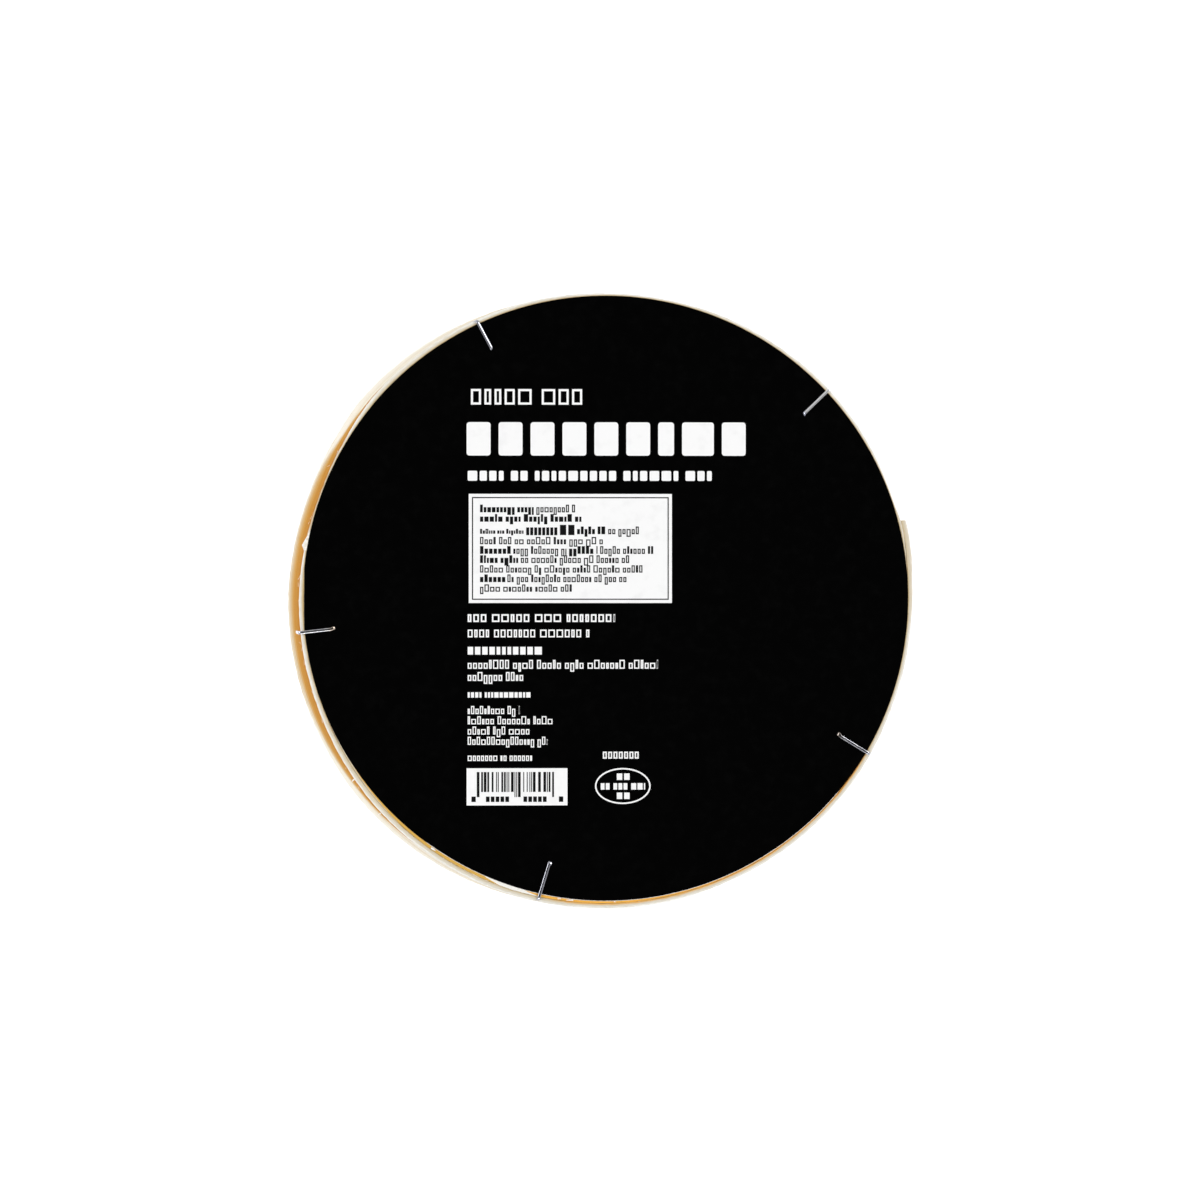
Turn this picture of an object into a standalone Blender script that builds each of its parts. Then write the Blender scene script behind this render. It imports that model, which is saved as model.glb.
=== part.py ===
"""A round, shut, stapled cheese box of bent poplar wood, standing on its base.

The base is a disc with a wooden strip bent round it, and the lid is a second disc with a wider
strip that slips down over the first. Each strip overlaps its own start and is held to its disc
by five wire staples, driven over the edge with one leg in the disc and one in the strip.
A round black paper label is glued on the lid, a little off centre, under the staples.
The box is shut and can't be seen into, so its cheese and its base disc are one solid body.

Metres, +Z up, origin on the ground under the middle of the box.
Angles are in degrees, anticlockwise as seen from above, from +X.
"""

import math

import bmesh
import bpy
from mathutils import Matrix, Vector

MM = 0.001

# Clearance between neighbouring solids
GAP = 0.3 * MM

# Driving sizes of the box
LID_RADIUS = 57.0 * MM
BOX_HEIGHT = 35.5 * MM
LID_DEPTH = 25.5 * MM
STRIP_THICK = 0.9 * MM
DISC_THICK = 1.7 * MM
EDGE_BEVEL = 0.12 * MM

# The overlap of a strip: its length, how far the strip's start is tucked in under it, the stretch
# over which the start comes back out to the full radius, and the stretch that leads onto it
LAP_ANGLE = 32.0
LAP_TUCK = 1.1 * MM
TUCK_HELD_ANGLE = 8.0
TUCK_FREE_ANGLE = 54.0
LEAD_ANGLE = 9.0
STATION_ANGLE = 3.2

# Where each strip starts, under its overlap
LID_LAP_START = -18.0
BASE_LAP_START = 92.0

# The paper label
LABEL_RADIUS = 56.3 * MM
LABEL_THICK = 0.2 * MM
LABEL_CENTRE = (0.09 * MM, 0.51 * MM)

# The staples: a flattened wire, bent over the edge
WIRE_WIDTH = 0.75 * MM
WIRE_THICK = 0.5 * MM
WIRE_BEND = 0.45 * MM
WIRE_BEVEL = 0.1 * MM
CROWN_REACH = 6.7 * MM
SIDE_RUN = 4.9 * MM
LEG_DEPTH = 2.2 * MM
SINK = 0.05 * MM

# Five staples to each end of the box, each driven by hand a little out of place and askew
STAPLE_COUNT = 5
STAPLE_STEP = -360.0 / STAPLE_COUNT
LID_STAPLE_START = 114.3
LID_STAPLE_DRIFT = (0.0, 1.1, -0.4, -0.7, -0.4)
LID_STAPLE_SKEW = (0.7, -5.2, -0.6, -7.0, 2.8)
BASE_STAPLE_START = LID_STAPLE_START + STAPLE_STEP / 2.0
BASE_STAPLE_DRIFT = (0.4, -0.8, 0.6, 0.2, -0.5)
BASE_STAPLE_SKEW = (-2.0, 3.0, 1.2, -4.0, 0.8)

DISC_SIDES = 120

# Radii and levels that follow from the sizes above
LID_STRIP_INNER = LID_RADIUS - STRIP_THICK
LID_DISC_BOTTOM = BOX_HEIGHT - DISC_THICK
LID_STRIP_BOTTOM = BOX_HEIGHT - LID_DEPTH
LABEL_BOTTOM = BOX_HEIGHT + GAP
LABEL_TOP = LABEL_BOTTOM + LABEL_THICK
BASE_RADIUS = LID_STRIP_INNER - LAP_TUCK - GAP - SINK
BASE_STRIP_INNER = BASE_RADIUS - STRIP_THICK
BASE_BODY_TOP = LID_DISC_BOTTOM - GAP
BASE_STRIP_TOP = BASE_BODY_TOP - GAP


def clear_scene():
    """Remove every object that the file starts with."""
    for item in list(bpy.data.objects):
        bpy.data.objects.remove(item, do_unlink=True)


def make_material(name, colour, roughness, metallic=0.0):
    """A Principled material with the part's own colour, roughness and metallic value."""
    material = bpy.data.materials.new(name)
    material.use_nodes = True
    material.diffuse_color = (*colour, 1.0)
    shader = material.node_tree.nodes["Principled BSDF"]
    shader.inputs["Base Color"].default_value = (*colour, 1.0)
    shader.inputs["Roughness"].default_value = roughness
    shader.inputs["Metallic"].default_value = metallic
    return material


def object_from(mesh_builder, name, material=None):
    """Turn a bmesh into a named object, shaded smooth with its edges kept sharp."""
    bmesh.ops.recalc_face_normals(mesh_builder, faces=mesh_builder.faces)
    mesh = bpy.data.meshes.new(name)
    mesh_builder.to_mesh(mesh)
    mesh_builder.free()
    mesh.shade_smooth()
    mesh.set_sharp_from_angle(angle=math.radians(30.0))
    item = bpy.data.objects.new(name, mesh)
    bpy.context.scene.collection.objects.link(item)
    if material:
        mesh.materials.append(material)
    return item


def add_bevel(item, width):
    """Ease the object's sharp edges."""
    bevel = item.modifiers.new("eased_edges", "BEVEL")
    bevel.width = width
    bevel.segments = 1
    bevel.limit_method = "ANGLE"
    bevel.angle_limit = math.radians(40.0)


def cut_by(item, cutter):
    """Cut the staples' leg holes out of a piece."""
    cut = item.modifiers.new("leg_holes", "BOOLEAN")
    cut.operation = "DIFFERENCE"
    cut.object = cutter


def label_plate(name, material):
    """The label, as a thin round plate."""
    builder = bmesh.new()
    bmesh.ops.create_cone(
        builder,
        cap_ends=True,
        segments=DISC_SIDES,
        radius1=LABEL_RADIUS,
        radius2=LABEL_RADIUS,
        depth=LABEL_THICK,
        matrix=Matrix.Translation((*LABEL_CENTRE, (LABEL_BOTTOM + LABEL_TOP) / 2.0)),
    )
    return object_from(builder, name, material)


def smooth_step(value, start, end):
    """0 before start, 1 after end, and a smooth rise between them."""
    share = min(max((value - start) / (end - start), 0.0), 1.0)
    return share * share * (3.0 - 2.0 * share)


def tuck(travel):
    """How far inwards a strip lies after it has travelled so many degrees from its start."""
    return LAP_TUCK * (1.0 - smooth_step(travel, TUCK_HELD_ANGLE, TUCK_FREE_ANGLE))


def strip_inner_radius(travel, full_radius):
    """Radius of a strip's inner face after it has travelled so many degrees from its start.

    The start is tucked in, so that the end can lie over it and stand out only a little.
    """
    if travel < 360.0:
        led = smooth_step(travel, 360.0 - LEAD_ANGLE, 360.0)
        return full_radius - tuck(travel) + led * (STRIP_THICK + GAP - LAP_TUCK)
    return full_radius + STRIP_THICK + GAP - tuck(travel - 360.0)


def fitted_plate(name, full_radius, lap_start, bottom, top, material):
    """A disc or a block that fills its strip, with its edge pressed in where the strip is tucked."""
    builder = bmesh.new()
    rim = []
    for side in range(DISC_SIDES):
        travel = 360.0 * side / DISC_SIDES
        led = smooth_step(travel, 360.0 - LEAD_ANGLE, 360.0)
        radius = full_radius - tuck(travel) - led * LAP_TUCK - GAP
        spin = Matrix.Rotation(math.radians(lap_start + travel), 3, "Z")
        rim.append(builder.verts.new(spin @ Vector((radius, 0.0, bottom))))
    floor = builder.faces.new(rim)
    raised = bmesh.ops.extrude_face_region(builder, geom=[floor])["geom"]
    top_corners = [piece for piece in raised if isinstance(piece, bmesh.types.BMVert)]
    bmesh.ops.translate(builder, verts=top_corners, vec=(0.0, 0.0, top - bottom))
    plate = object_from(builder, name, material)
    add_bevel(plate, EDGE_BEVEL)
    return plate


def bent_strip(name, full_radius, lap_start, bottom, top, material):
    """A flat strip of wood bent round past its own start, as one closed spiral."""
    turn = 360.0 + LAP_ANGLE
    stations = math.ceil(turn / STATION_ANGLE)
    builder = bmesh.new()
    rings = []
    for station in range(stations + 1):
        travel = turn * station / stations
        inner = strip_inner_radius(travel, full_radius)
        outer = inner + STRIP_THICK
        spin = Matrix.Rotation(math.radians(lap_start + travel), 3, "Z")
        corners = ((inner, bottom), (outer, bottom), (outer, top), (inner, top))
        rings.append([builder.verts.new(spin @ Vector((r, 0.0, z))) for r, z in corners])
    for here, there in zip(rings, rings[1:]):
        for side in range(4):
            ahead = (side + 1) % 4
            builder.faces.new((here[side], here[ahead], there[ahead], there[side]))
    builder.faces.new(rings[0])
    builder.faces.new(rings[-1])
    strip = object_from(builder, name, material)
    add_bevel(strip, EDGE_BEVEL)
    return strip


def radial_prism(builder, outline, width, angle, skew, pivot_radius):
    """Add an upright outline, drawn as radius and height, thickened sideways and set at an angle.

    The skew turns it on the spot about the upright line at pivot_radius.
    """
    pivot = Vector((pivot_radius, 0.0, 0.0))
    place = (
        Matrix.Rotation(math.radians(angle), 4, "Z")
        @ Matrix.Translation(pivot)
        @ Matrix.Rotation(math.radians(skew), 4, "Z")
        @ Matrix.Translation(-pivot)
    )
    near = [builder.verts.new(place @ Vector((r, -width / 2.0, z))) for r, z in outline]
    far = [builder.verts.new(place @ Vector((r, width / 2.0, z))) for r, z in outline]
    builder.faces.new(near)
    builder.faces.new(far)
    for index in range(len(outline)):
        ahead = (index + 1) % len(outline)
        builder.faces.new((near[index], near[ahead], far[ahead], far[index]))


def rounded_path(corners, radius, steps=3):
    """A path through the corners, with each turn made as an arc of the given radius."""
    path = [Vector(corners[0])]
    for before, corner, after in zip(corners, corners[1:], corners[2:]):
        corner = Vector(corner)
        back = (Vector(before) - corner).normalized()
        ahead = (Vector(after) - corner).normalized()
        half_turn = back.angle(ahead) / 2.0
        centre = corner + (back + ahead).normalized() * radius / math.sin(half_turn)
        reach = radius / math.tan(half_turn)
        start = corner + back * reach - centre
        end = corner + ahead * reach - centre
        for step in range(steps + 1):
            arc = start.lerp(end, step / steps).normalized() * radius
            path.append(centre + arc)
    path.append(Vector(corners[-1]))
    return path


def thick_outline(path, thickness):
    """The closed outline of a path given a thickness."""
    left = []
    right = []
    for index, point in enumerate(path):
        before = path[max(index - 1, 0)]
        after = path[min(index + 1, len(path) - 1)]
        along = (after - before).normalized()
        across = Vector((-along.y, along.x)) * thickness / 2.0
        left.append(point + across)
        right.append(point - across)
    return left + right[::-1]


def staple_frame(strip_radius, crown_level, inward):
    """The places that a staple's shape and its holes are drawn from.

    inward is 1 where the staple's legs point up into the box, and -1 where they point down.
    """
    side_radius = strip_radius + GAP + WIRE_THICK / 2.0
    inner_radius = side_radius - CROWN_REACH
    return {
        "inner_radius": inner_radius,
        "side_radius": side_radius,
        "pivot": (inner_radius + side_radius) / 2.0,
        "crown": crown_level,
        "leg_tip": crown_level + inward * LEG_DEPTH,
        "side_leg": crown_level + inward * SIDE_RUN,
        "tip_radius": strip_radius - STRIP_THICK - GAP / 2.0,
    }


LID_FRAME = staple_frame(LID_RADIUS, LABEL_TOP + GAP + WIRE_THICK / 2.0, -1.0)
BASE_FRAME = staple_frame(BASE_RADIUS, SINK + WIRE_THICK / 2.0, 1.0)


def staple_places(start, drift, skew):
    """The angle and the skew of each staple of one end of the box."""
    for index in range(STAPLE_COUNT):
        yield start + STAPLE_STEP * index + drift[index], skew[index]


def add_staples(prefix, frame, places, material):
    """Five bent wires, each an object of its own."""
    corners = (
        (frame["inner_radius"], frame["leg_tip"]),
        (frame["inner_radius"], frame["crown"]),
        (frame["side_radius"], frame["crown"]),
        (frame["side_radius"], frame["side_leg"]),
        (frame["tip_radius"], frame["side_leg"]),
    )
    outline = thick_outline(rounded_path(corners, WIRE_BEND), WIRE_THICK)
    for number, (angle, skew) in enumerate(places, start=1):
        builder = bmesh.new()
        radial_prism(builder, outline, WIRE_WIDTH, angle, skew, frame["pivot"])
        staple = object_from(builder, f"{prefix}_staple_{number}", material)
        add_bevel(staple, WIRE_BEVEL)


def hole_cutter(name, frame, places, outlines):
    """A hidden tool with the staples' holes as separate blocks, each set like its staple."""
    builder = bmesh.new()
    for angle, skew in places:
        for outline in outlines:
            radial_prism(builder, outline, WIRE_WIDTH + 2.0 * GAP, angle, skew, frame["pivot"])
    cutter = object_from(builder, name)
    cutter.hide_render = True
    cutter.display_type = "WIRE"
    return cutter


def box_outline(low_radius, high_radius, low, high):
    """A rectangle drawn as radius and height."""
    return ((low_radius, low), (high_radius, low), (high_radius, high), (low_radius, high))


def side_hole(frame):
    """The hole through the strip that a staple's outer leg goes in by."""
    half = WIRE_THICK / 2.0 + GAP
    low_radius = frame["tip_radius"] - GAP / 2.0 + SINK
    high_radius = frame["side_radius"] + WIRE_THICK
    return box_outline(low_radius, high_radius, frame["side_leg"] - half, frame["side_leg"] + half)


def lid_cutter(places):
    """The leg holes of the lid: straight down through the label and the disc, and in from the side."""
    half = WIRE_THICK / 2.0 + GAP
    low_radius = LID_FRAME["inner_radius"] - half
    high_radius = LID_FRAME["inner_radius"] + half
    down = box_outline(low_radius, high_radius, LID_DISC_BOTTOM - GAP, LABEL_TOP + GAP)
    return hole_cutter("lid_hole_cutter", LID_FRAME, places, (down, side_hole(LID_FRAME)))


def base_cutter(places):
    """The leg holes of the base, each with a groove that lets the wire lie flush underneath."""
    half = WIRE_THICK / 2.0 + GAP
    low_radius = BASE_FRAME["inner_radius"] - half
    high_radius = BASE_FRAME["inner_radius"] + half
    outside = BASE_FRAME["side_radius"] + WIRE_THICK
    under = -1.0 * MM
    groove_top = BASE_FRAME["crown"] + half
    hole_top = BASE_FRAME["leg_tip"] + GAP
    groove = (
        (low_radius, under),
        (outside, under),
        (outside, groove_top),
        (high_radius, groove_top),
        (high_radius, hole_top),
        (low_radius, hole_top),
    )
    return hole_cutter("base_hole_cutter", BASE_FRAME, places, (groove, side_hole(BASE_FRAME)))


def build_base(wood, strip_wood, wire):
    """The filled base: its body, its strip, and the staples that hold the two."""
    places = list(staple_places(BASE_STAPLE_START, BASE_STAPLE_DRIFT, BASE_STAPLE_SKEW))
    cutter = base_cutter(places)
    body = fitted_plate(
        "base_body", BASE_STRIP_INNER, BASE_LAP_START, 0.0, BASE_BODY_TOP, wood
    )
    strip = bent_strip(
        "base_strip", BASE_STRIP_INNER, BASE_LAP_START, 0.0, BASE_STRIP_TOP, strip_wood
    )
    cut_by(body, cutter)
    cut_by(strip, cutter)
    add_staples("base", BASE_FRAME, places, wire)


def build_lid(wood, strip_wood, paper, wire):
    """The lid: its disc, its strip, the label glued on the disc, and the staples over all three."""
    places = list(staple_places(LID_STAPLE_START, LID_STAPLE_DRIFT, LID_STAPLE_SKEW))
    cutter = lid_cutter(places)
    disc = fitted_plate(
        "lid_disc", LID_STRIP_INNER, LID_LAP_START, LID_DISC_BOTTOM, BOX_HEIGHT, wood
    )
    strip = bent_strip(
        "lid_strip", LID_STRIP_INNER, LID_LAP_START, LID_STRIP_BOTTOM, BOX_HEIGHT, strip_wood
    )
    label = label_plate("lid_label", paper)
    cut_by(disc, cutter)
    cut_by(strip, cutter)
    cut_by(label, cutter)
    add_staples("lid", LID_FRAME, places, wire)


def main():
    """Make the whole box."""
    clear_scene()
    wood = make_material("poplar_disc", (0.60, 0.42, 0.22), 0.65)
    strip_wood = make_material("poplar_strip", (0.66, 0.47, 0.25), 0.6)
    paper = make_material("black_label", (0.012, 0.012, 0.012), 0.5)
    wire = make_material("staple_wire", (0.62, 0.61, 0.58), 0.35, 1.0)
    build_base(wood, strip_wood, wire)
    build_lid(wood, strip_wood, paper, wire)


main()
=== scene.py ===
# %% [markdown]
# # A shut wooden cheese box, seen from above
# The real thing is a round box of thin poplar. A disc and a strip bent round it make the base,
# a second disc and a wider strip make the lid, and five wire staples hold each pair. A round black
# paper label is glued on the lid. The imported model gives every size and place, and this lesson
# makes the surface that the eye sees, piece by piece, around it.

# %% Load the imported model
import math
import random
from collections import namedtuple
from contextlib import contextmanager

import bmesh
import bpy
from mathutils import Matrix, Vector


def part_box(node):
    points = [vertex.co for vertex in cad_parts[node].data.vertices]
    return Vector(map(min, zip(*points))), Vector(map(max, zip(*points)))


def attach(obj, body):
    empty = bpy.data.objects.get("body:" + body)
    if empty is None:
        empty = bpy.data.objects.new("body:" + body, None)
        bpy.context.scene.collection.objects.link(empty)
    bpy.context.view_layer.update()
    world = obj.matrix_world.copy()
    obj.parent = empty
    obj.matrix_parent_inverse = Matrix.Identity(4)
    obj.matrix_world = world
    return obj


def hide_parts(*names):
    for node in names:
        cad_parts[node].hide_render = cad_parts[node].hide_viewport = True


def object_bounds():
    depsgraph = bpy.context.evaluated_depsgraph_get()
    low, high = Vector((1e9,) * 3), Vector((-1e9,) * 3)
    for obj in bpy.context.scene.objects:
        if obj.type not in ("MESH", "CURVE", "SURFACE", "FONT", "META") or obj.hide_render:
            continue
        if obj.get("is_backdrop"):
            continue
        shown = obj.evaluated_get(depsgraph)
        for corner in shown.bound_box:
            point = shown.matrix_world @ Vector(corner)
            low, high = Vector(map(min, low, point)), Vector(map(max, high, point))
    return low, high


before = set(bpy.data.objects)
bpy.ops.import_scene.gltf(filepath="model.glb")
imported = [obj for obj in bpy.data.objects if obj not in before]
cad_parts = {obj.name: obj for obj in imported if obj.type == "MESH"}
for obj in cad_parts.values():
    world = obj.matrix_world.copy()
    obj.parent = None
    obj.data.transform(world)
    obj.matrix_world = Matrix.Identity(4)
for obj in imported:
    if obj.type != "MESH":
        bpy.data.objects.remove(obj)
solid_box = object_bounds()

# %% [markdown]
# Everything below is measured from the solids, so that nothing has to be fitted afterwards. The
# strips overlap at one side, so their plain radius is read on a side without an overlap.

# %% Sizes read from the frame
MM = 0.001
lid_low, lid_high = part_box("lid_strip")
base_low, base_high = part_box("base_strip")
label_low, label_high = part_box("lid_label")

STRIP_THICK = 0.9 * MM
LID_TOP = lid_high.z
LID_BOTTOM = lid_low.z
LID_INNER = -lid_low.y - STRIP_THICK
BASE_TOP = base_high.z
BASE_INNER = -base_low.y - STRIP_THICK
LABEL_CENTRE = ((label_low + label_high) / 2.0).xy
LABEL_RADIUS = (label_high.x - label_low.x) / 2.0
print("lid strip: inside radius %.2f mm, height %.2f mm" % (
    LID_INNER / MM, (LID_TOP - LID_BOTTOM) / MM))
print("label: radius %.2f mm" % (LABEL_RADIUS / MM))

# %% [markdown]
# The camera comes first, because it decides which details matter. The box is seen from a long way
# off, nearly straight from above, and leaning a little to the left, so that a sliver of the lid's
# left side shows. A camera's turn can be written as a matrix whose columns are its right, its up
# and its backward direction.

# %% The camera
PHOTO_SIZE = 1200.0
PIXELS_PER_MM = 5.386
BOX_RIGHT_OF_MIDDLE = 5.6 / PIXELS_PER_MM * MM
BOX_BELOW_MIDDLE = 0.9 / PIXELS_PER_MM * MM
CAMERA_DISTANCE = 2.2
CAMERA_LEAN = math.radians(6.0)
CAMERA_REACH = 20.0
SENSOR_MM = 36.0


def aim_camera():
    """Stand the camera over the lid, with the box where the photograph has it."""
    back = Vector((-math.sin(CAMERA_LEAN), 0.0, math.cos(CAMERA_LEAN)))
    right = Vector((0.0, 1.0, 0.0)).cross(back).normalized()
    up = back.cross(right)
    face = Vector((0.0, 0.0, LID_TOP))
    aim = face - right * BOX_RIGHT_OF_MIDDLE + up * BOX_BELOW_MIDDLE
    turn = Matrix((right, up, back)).transposed().to_4x4()
    bpy.ops.object.camera_add()
    camera = bpy.context.object
    camera.name = "camera_over_lid"
    camera.matrix_world = Matrix.Translation(aim + back * CAMERA_DISTANCE) @ turn
    camera.data.sensor_width = SENSOR_MM
    camera.data.lens = CAMERA_DISTANCE / MM * PIXELS_PER_MM * SENSOR_MM / PHOTO_SIZE
    camera.data.clip_end = CAMERA_REACH
    bpy.context.scene.camera = camera
    return camera


camera = aim_camera()
print("lens: %.1f mm" % camera.data.lens)

# %% [markdown]
# A material is a small program. Its number work reads best as plain arithmetic, so a small class
# wraps a socket and gives it Python's own operators, each of which adds the Math node that does
# the work. Every other node comes from one method, which is told the node's type, its settings
# and what goes into its sockets.

# %% Helpers for materials
def linear(*colour):
    """A colour as the eye names it, from 0 to 255, as the light that a shader works with."""
    shares = [value / 255.0 for value in colour]
    return (*(share / 12.92 if share <= 0.04045 else ((share + 0.055) / 1.055) ** 2.4
              for share in shares), 1.0)


class Signal:
    """A socket of a finish, on which Python's operators work."""

    def __init__(self, finish, socket):
        self.finish = finish
        self.socket = socket

    def part(self, name):
        """Another output of the same node."""
        return Signal(self.finish, self.socket.node.outputs[name])

    def math(self, operation, *values):
        """A Math node that works on this socket and on more values."""
        sockets = dict(enumerate((self, *values)))
        return self.finish.node("Math", {"operation": operation}, sockets)

    def __add__(self, other):
        return self.math("ADD", other)

    __radd__ = __add__

    def __mul__(self, other):
        return self.math("MULTIPLY", other)

    __rmul__ = __mul__

    def __sub__(self, other):
        return self.math("SUBTRACT", other)

    def __rsub__(self, other):
        return (self * -1.0) + other

    def __truediv__(self, other):
        return self.math("DIVIDE", other)

    def __pow__(self, other):
        return self.math("POWER", other)

    def between(self, low, high):
        """0 below low, 1 above high, and a smooth rise between them."""
        settings = {"interpolation_type": "SMOOTHSTEP"}
        return self.finish.node("MapRange", settings, {0: self, 1: low, 2: high})

    def inside(self, low, high, soft):
        """1 from low to high and 0 beyond them, with soft ends."""
        return self.between(low - soft, low) * (1.0 - self.between(high, high + soft))


class Sketch:
    """A node tree in the making."""

    def __init__(self, tree):
        self.tree = tree

    def feed(self, socket, value):
        """Put a link or a plain value into a socket."""
        if isinstance(value, Signal):
            self.tree.links.new(value.socket, socket)
        else:
            socket.default_value = value

    def node(self, kind, settings=None, sockets=None, output=0):
        """Add a node by its type, with its settings first and then its sockets."""
        node = self.tree.nodes.new("ShaderNode" + kind)
        for key, value in (settings or {}).items():
            if key == "stops":
                ramp = node.color_ramp
                for place, _ in value[2:]:
                    ramp.elements.new(place)
                for element, (place, colour) in zip(ramp.elements, sorted(value)):
                    element.position = place
                    element.color = colour
            else:
                setattr(node, key, value)
        for key, value in (sockets or {}).items():
            self.feed(node.inputs[key], value)
        return Signal(self, node.outputs[output])

    def place(self):
        """Where a point lies on a piece, in millimetres, as x, y and z."""
        spot = self.node("TexCoord", output="Object")
        scaled = self.node("VectorMath", {"operation": "SCALE"}, {0: spot, "Scale": 1.0 / MM})
        split = self.node("SeparateXYZ", None, {0: scaled})
        return split, split.part("Y"), split.part("Z")

    def noise(self, x, y, z=0.0, detail=3.0, roughness=0.5):
        """Smooth noise from 0 to 1 at a place, whose numbers are already scaled."""
        spot = self.node("CombineXYZ", None, {0: x, 1: y, 2: z})
        sockets = {"Vector": spot, "Scale": 1.0, "Detail": detail, "Roughness": roughness}
        return self.node("TexNoise", None, sockets)

    def mix(self, share, first, second):
        """Blend two colours."""
        sockets = {0: share, 6: first, 7: second}
        return self.node("Mix", {"data_type": "RGBA"}, sockets, output=2)

    def ramp(self, value, *stops):
        """Turn a number into a colour by stops along a ramp."""
        return self.node("ValToRGB", {"stops": stops}, {0: value})


class Finish(Sketch):
    """A material in the making, around its Principled shader."""

    def __init__(self, name, **constants):
        self.material = bpy.data.materials.new(name)
        self.material.use_nodes = True
        super().__init__(self.material.node_tree)
        self.shader = self.tree.nodes["Principled BSDF"]
        for key, value in constants.items():
            self.shader.inputs[key.replace("_", " ")].default_value = value

    def bump(self, height, distance):
        """Relief on the shader's normal, its height given as a share of the distance."""
        relief = self.node("Bump", None, {"Height": height, "Distance": distance})
        self.feed(self.shader.inputs["Normal"], relief)

    def set(self, **values):
        """Put links into the shader's own sockets."""
        for key, value in values.items():
            self.feed(self.shader.inputs[key.replace("_", " ")], value)


def span(x, y):
    """How long a step by x and y is."""
    return (x * x + y * y) ** 0.5


def aligned(x, y, direction):
    """A place as steps along a direction, given in degrees, and to the left of it."""
    cosine = math.cos(math.radians(direction))
    sine = math.sin(math.radians(direction))
    return x * cosine + y * sine, y * cosine - x * sine


def turned(x, y, direction):
    """Degrees round the box from a direction, anticlockwise from above, from -180 to 180."""
    facing, beside = aligned(x, y, direction)
    return beside.math("ARCTAN2", facing) * math.degrees(1.0)


print("a mid grey of 128 is %.3f in a shader" % linear(128, 128, 128)[0])

# %% [markdown]
# The strips are veneer peeled off a poplar log: pale cream sapwood with honey streaks that run
# round the box, and on the left side a patch of amber heartwood, which starts at the top edge and
# fades downwards. The amber is the wood's own, but its fade to pale lower down is painted floor
# light, and so is the paler lower part of every strip: lighter towards the white floor. The
# pattern
# has to follow the bent wood, so it reads a map that is laid on each strip while it is still flat:
# millimetres along the strip, and millimetres across it. Long thin noise gives the fibres, wide
# slow noise the soft bands, short dark dashes are the pores, and fine upright checks are where the
# peeling knife cracked the veneer. The sawn edge is paler, with painted shade along its inside and
# a painted highlight on its outer corner. Heartwood shows on it in one place at the upper left,
# and glue has run over its inner corner at the front right and over the end of the lap. A gold
# line runs all along the label's edge.

# %% The finish of a bent strip
WOOD_SHINE = 0.03
WOOD_ROUGHNESS = 0.65
WOOD_RELIEF = 0.05 * MM
PORE_LEVELS = (0.66, 0.74)
PORE_SHARE = 0.4
CREAM = linear(234, 229, 217)
STRAW = linear(228, 217, 195)
HONEY = linear(211, 186, 144)
# Painted floor light: the pale that the lower part of a strip's side is mixed towards.
FLOOR_LIT_PALE = linear(246, 243, 236)
PORE_BROWN = linear(150, 100, 48)
GLUE_AMBER = linear(232, 176, 92)
LABEL_EDGE_GOLD = linear(202, 174, 116)
GLUE_TAN = linear(210, 190, 154)
DEEP_HEART = linear(176, 116, 36)
PRINT_SHIFT = (0.02, -0.04)
PRINT_HALF = (LABEL_RADIUS / MM + 0.20, LABEL_RADIUS / MM - 0.11)
# The heartwood's ramp: its amber is the wood's own, and its rise to pale is painted floor light.
HEART_AND_FLOOR_LIT_STOPS = (
    (0.14, linear(188, 128, 42)),
    (0.36, linear(194, 137, 50)),
    (0.52, linear(202, 155, 80)),
    (0.68, linear(208, 178, 130)),
    (0.82, linear(216, 200, 170)),
    (0.96, linear(226, 217, 198)),
)
# The sawn edge from its inner face to its outer one: painted shade inside, its own paler wood, and
# a painted highlight at the outer corner.
SAWN_SHADE_AND_HIGHLIGHT_STOPS = (
    (0.02, linear(206, 186, 146)),
    (0.18, linear(214, 201, 174)),
    (0.42, linear(220, 211, 192)),
    (0.60, linear(227, 221, 207)),
    (0.78, linear(242, 239, 231)),
    (0.92, linear(250, 249, 246)),
)
# Arcs in degrees from the middle of the heartwood, the last one from the end of the lap: where
# each starts and ends, and how soft its ends are.
HEART_RISE = (-46.0, -20.0)
HEART_FALL = (14.0, 60.0)
HEART_ARC = (-43.0, 50.0, 4.0)
BROWNED_ARC = (-30.0, -14.0, 4.0)
GLUED_ARC = (84.0, 146.0, 6.0)
TANNED_ARC = (-7.0, 7.0, 7.0)
# How far below the top, or above the bottom, the sawn edge's look is full, and where it ends.
SAWN_FULL = 0.11
SAWN_FADED = 0.17


def from_label(x, y):
    """How far a point lies beyond the edge of the label's print, in millimetres."""
    across = (x - (LABEL_CENTRE.x / MM + PRINT_SHIFT[0])) / PRINT_HALF[0]
    upward = (y - (LABEL_CENTRE.y / MM + PRINT_SHIFT[1])) / PRINT_HALF[1]
    return (span(across, upward) - 1.0) * PRINT_HALF[0]


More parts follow.
